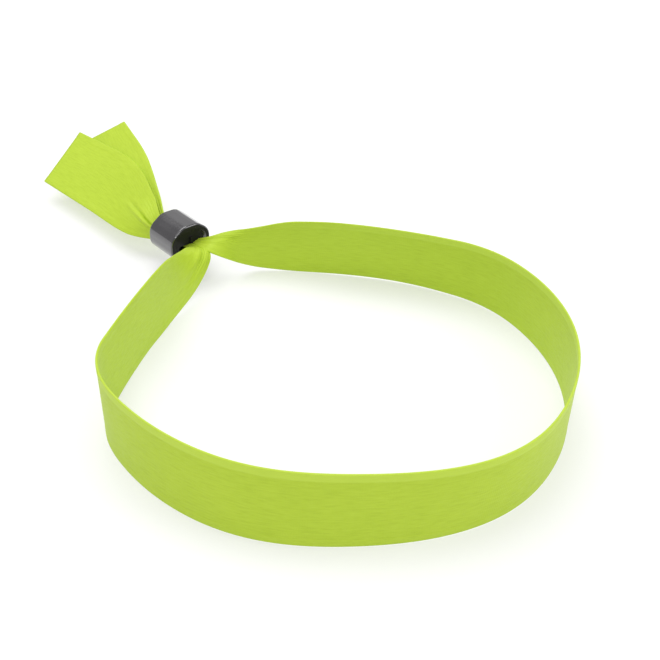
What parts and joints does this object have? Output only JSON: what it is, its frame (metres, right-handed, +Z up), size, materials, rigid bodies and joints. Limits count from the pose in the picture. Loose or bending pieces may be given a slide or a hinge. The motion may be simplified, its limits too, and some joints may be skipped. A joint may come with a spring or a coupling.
{
  "type": "slide-lock ribbon wristband",
  "caption": "Flat woven ribbon bent into an upright wrist loop, with both gathered ends held in a small one-way slide-lock bead and two free tails behind it.",
  "frame": {"origin": "on the resting plane, on the line of the bead's slide axis, beside the middle of the loop", "axes": "+Z up along the wrist; +X along the bead's slide axis, from the tails and bead towards the far side of the loop; +Y to the left when looking along +X"},
  "size_m": [0.1424, 0.0849, 0.015],
  "materials": {
    "ribbon": "satin",
    "bead": "gloss"
  },
  "bodies": {
    "ribbon": {"ribbon_band": "ribbon", "gather_left": "ribbon", "gather_right": "ribbon", "throat_left": "ribbon", "throat_right": "ribbon", "tail_over": "ribbon", "tail_under": "ribbon"},
    "lock_bead": {"lock_bead": "bead"}
  },
  "joints": [
    {"name": "bead_slide", "type": "slide", "parent": "ribbon", "child": "lock_bead", "axis": [1, 0, 0], "range_m": [0, 0.03], "deforming": ["gather_left", "gather_right"]}
  ]
}
